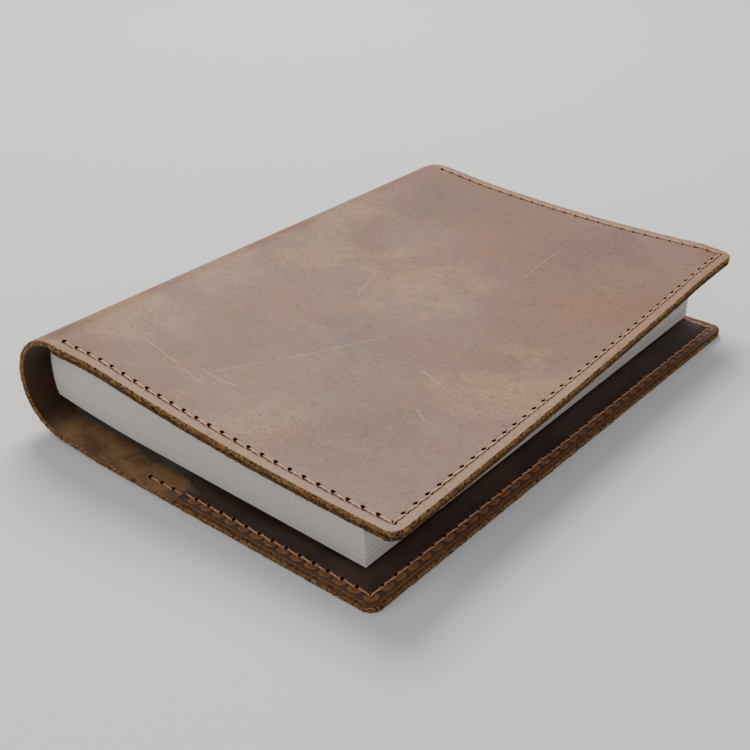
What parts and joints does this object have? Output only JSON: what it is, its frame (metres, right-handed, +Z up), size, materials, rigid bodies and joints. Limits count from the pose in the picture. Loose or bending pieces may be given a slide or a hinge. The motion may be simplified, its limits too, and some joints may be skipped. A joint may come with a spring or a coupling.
{
  "type": "leather notebook cover",
  "caption": "Wrap cover of thick oiled leather for an A5 notebook, with stitched inner pockets that hold the notebook's cards, shown closed with the pages inside.",
  "frame": {"origin": "middle of the back cover's footprint on the table, under the closed cover", "axes": "+X from the spine to the fore-edge, +Y from tail to head along the spine, +Z up from the table, out of the front cover"},
  "size_m": [0.1717, 0.226, 0.0413],
  "materials": {
    "oiled_leather": "waxed pull-up leather, grain side out, with pale scratches",
    "pocket_leather": "smooth dark brown lining leather",
    "waxed_thread": "waxed orange-brown sewing thread",
    "grey_card": "uncoated grey-brown board",
    "page_paper": "uncoated off-white paper edges"
  },
  "bodies": {
    "back_cover": {"back_cover_panel": "oiled_leather", "back_pocket": "pocket_leather", "back_seam_outer_thread": "waxed_thread", "back_seam_inner_thread": "waxed_thread", "notebook_back_card": "grey_card", "notebook_lower_spine_lining": "grey_card", "signature_01": "page_paper", "signature_02": "page_paper", "signature_03": "page_paper", "signature_04": "page_paper", "signature_05": "page_paper"},
    "spine_1": {"spine_strip_1": "oiled_leather"},
    "spine_2": {"spine_strip_2": "oiled_leather"},
    "spine_3": {"spine_strip_3": "oiled_leather"},
    "front_cover": {"front_cover_panel": "oiled_leather", "front_pocket": "pocket_leather", "front_seam_outer_thread": "waxed_thread", "front_seam_inner_thread": "waxed_thread", "notebook_front_card": "grey_card"},
    "upper_pages": {"signature_06": "page_paper", "signature_07": "page_paper", "signature_08": "page_paper", "signature_09": "page_paper", "signature_10": "page_paper", "notebook_upper_spine_lining": "grey_card"}
  },
  "joints": [
    {"name": "cover_fold_1", "type": "hinge", "parent": "back_cover", "child": "spine_1", "pos_m": [-0.0734, 0, 0.001], "axis": [0, -1, 0], "range_deg": [0, 45.7]},
    {"name": "cover_fold_2", "type": "hinge", "parent": "spine_1", "child": "spine_2", "pos_m": [-0.08483, 0, 0.01294], "axis": [0, -1, 0], "range_deg": [0, 45.7]},
    {"name": "cover_fold_3", "type": "hinge", "parent": "spine_2", "child": "spine_3", "pos_m": [-0.08411, 0, 0.02945], "axis": [0, -1, 0], "range_deg": [0, 45.7]},
    {"name": "cover_fold_4", "type": "hinge", "parent": "spine_3", "child": "front_cover", "pos_m": [-0.07168, 0, 0.04035], "axis": [0, -1, 0], "range_deg": [0, 45.7]},
    {"name": "page_turn", "type": "hinge", "parent": "back_cover", "child": "upper_pages", "pos_m": [-0.0796, 0, 0.01983], "axis": [0, -1, 0], "range_deg": [0, 181.5]}
  ],
  "couplings": [
    {"joint": "cover_fold_1", "follows": "page_turn", "ratio": 0.2517},
    {"joint": "cover_fold_2", "follows": "page_turn", "ratio": 0.2517},
    {"joint": "cover_fold_3", "follows": "page_turn", "ratio": 0.2517},
    {"joint": "cover_fold_4", "follows": "page_turn", "ratio": 0.2517}
  ]
}
